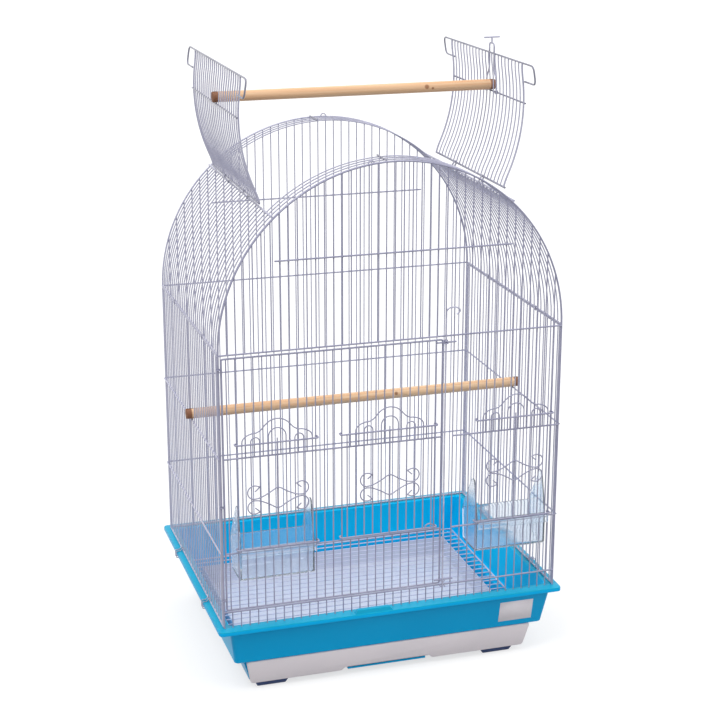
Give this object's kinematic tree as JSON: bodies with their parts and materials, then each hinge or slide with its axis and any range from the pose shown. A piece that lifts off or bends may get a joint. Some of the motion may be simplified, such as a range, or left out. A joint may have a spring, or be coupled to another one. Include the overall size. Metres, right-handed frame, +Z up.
{
  "type": "bird cage",
  "caption": "Arch-roofed wire bird cage with an open play top and perch, a hinged front door, lift-up feeder doors and a moulded base with a pull-out drawer.",
  "frame": {"origin": "on the floor under the middle of the base", "axes": "+X to the right seen from the front, the doors face -Y, +Z up"},
  "size_m": [0.5238, 0.41, 0.9076],
  "materials": {
    "wire_coat": "satin powder coat on steel wire",
    "rod_coat": "satin coat on steel wire and strip",
    "tub_blue": "moulded, slightly glossy",
    "drawer_white": "moulded, satin",
    "foot_navy": "moulded, matt",
    "cup_clear": "clear, slightly cloudy",
    "perch_pine": "bare turned pine"
  },
  "bodies": {
    "body": {"base_tub": "tub_blue", "foot_front_left": "foot_navy", "foot_front_right": "foot_navy", "foot_back_left": "foot_navy", "foot_back_right": "foot_navy", "floor_grille": "wire_coat", "back_panel": "wire_coat", "side_panel_left": "wire_coat", "side_panel_right": "wire_coat", "front_panel": "wire_coat", "roof_side_left": "wire_coat", "roof_side_right": "wire_coat", "roof_strip_front": "wire_coat", "roof_strip_back": "wire_coat", "roof_tie_left_front": "rod_coat", "roof_tie_left_back": "rod_coat", "roof_tie_right_front": "rod_coat", "roof_tie_right_back": "rod_coat", "base_clip_left_front": "rod_coat", "base_clip_left_back": "rod_coat", "base_clip_right_front": "rod_coat", "base_clip_right_back": "rod_coat", "feeder_cup_right": "cup_clear"},
    "tray": {"drawer": "drawer_white"},
    "left_flap": {"flap_left": "wire_coat", "flap_clip_left_front": "rod_coat", "flap_clip_left_back": "rod_coat"},
    "right_flap": {"flap_right": "wire_coat", "flap_clip_right_front": "rod_coat", "flap_clip_right_back": "rod_coat"},
    "catch": {"roof_catch": "rod_coat"},
    "door": {"front_door": "wire_coat", "feeder_cup_left": "cup_clear"},
    "rod": {"latch_rod": "rod_coat"},
    "left_slider": {"feeder_door_left": "wire_coat"},
    "middle_slider": {"middle_door": "wire_coat"},
    "right_slider": {"feeder_door_right": "wire_coat"},
    "top_perch": {"perch_upper": "perch_pine"},
    "inner_perch": {"perch_lower": "perch_pine"}
  },
  "joints": [
    {"name": "drawer_slide", "type": "slide", "parent": "body", "child": "tray", "axis": [0, -1, 0], "range_m": [0, 0.3]},
    {"name": "left_flap_hinge", "type": "hinge", "parent": "body", "child": "left_flap", "pos_m": [-0.1722, 0, 0.69467], "axis": [0, -1, 0], "range_deg": [0, 80]},
    {"name": "right_flap_hinge", "type": "hinge", "parent": "body", "child": "right_flap", "pos_m": [0.1722, 0, 0.69467], "axis": [0, 1, 0], "range_deg": [0, 80]},
    {"name": "catch_hinge", "type": "hinge", "parent": "right_flap", "child": "catch", "pos_m": [0.20497, -0.01267, 0.81989], "axis": [0, 1, 0], "range_deg": [0, 110]},
    {"name": "front_door_hinge", "type": "hinge", "parent": "body", "child": "door", "pos_m": [-0.2497, -0.19, 0.32], "axis": [0, 0, -1], "range_deg": [0, 120]},
    {"name": "latch_rod_slide", "type": "slide", "parent": "door", "child": "rod", "axis": [0, 0, 1], "range_m": [0, 0.014]},
    {"name": "left_feeder_door_slide", "type": "slide", "parent": "door", "child": "left_slider", "axis": [0, 0, 1], "range_m": [0, 0.11]},
    {"name": "middle_door_slide", "type": "slide", "parent": "door", "child": "middle_slider", "axis": [0, 0, 1], "range_m": [0, 0.11]},
    {"name": "right_feeder_door_slide", "type": "slide", "parent": "body", "child": "right_slider", "axis": [0, 0, 1], "range_m": [0, 0.11]},
    {"name": "top_perch_lift", "type": "slide", "parent": "body", "child": "top_perch", "axis": [0, 0, 1], "range_m": [0, 0.02]},
    {"name": "inner_perch_lift", "type": "slide", "parent": "body", "child": "inner_perch", "axis": [0, 0, 1], "range_m": [0, 0.12]}
  ]
}
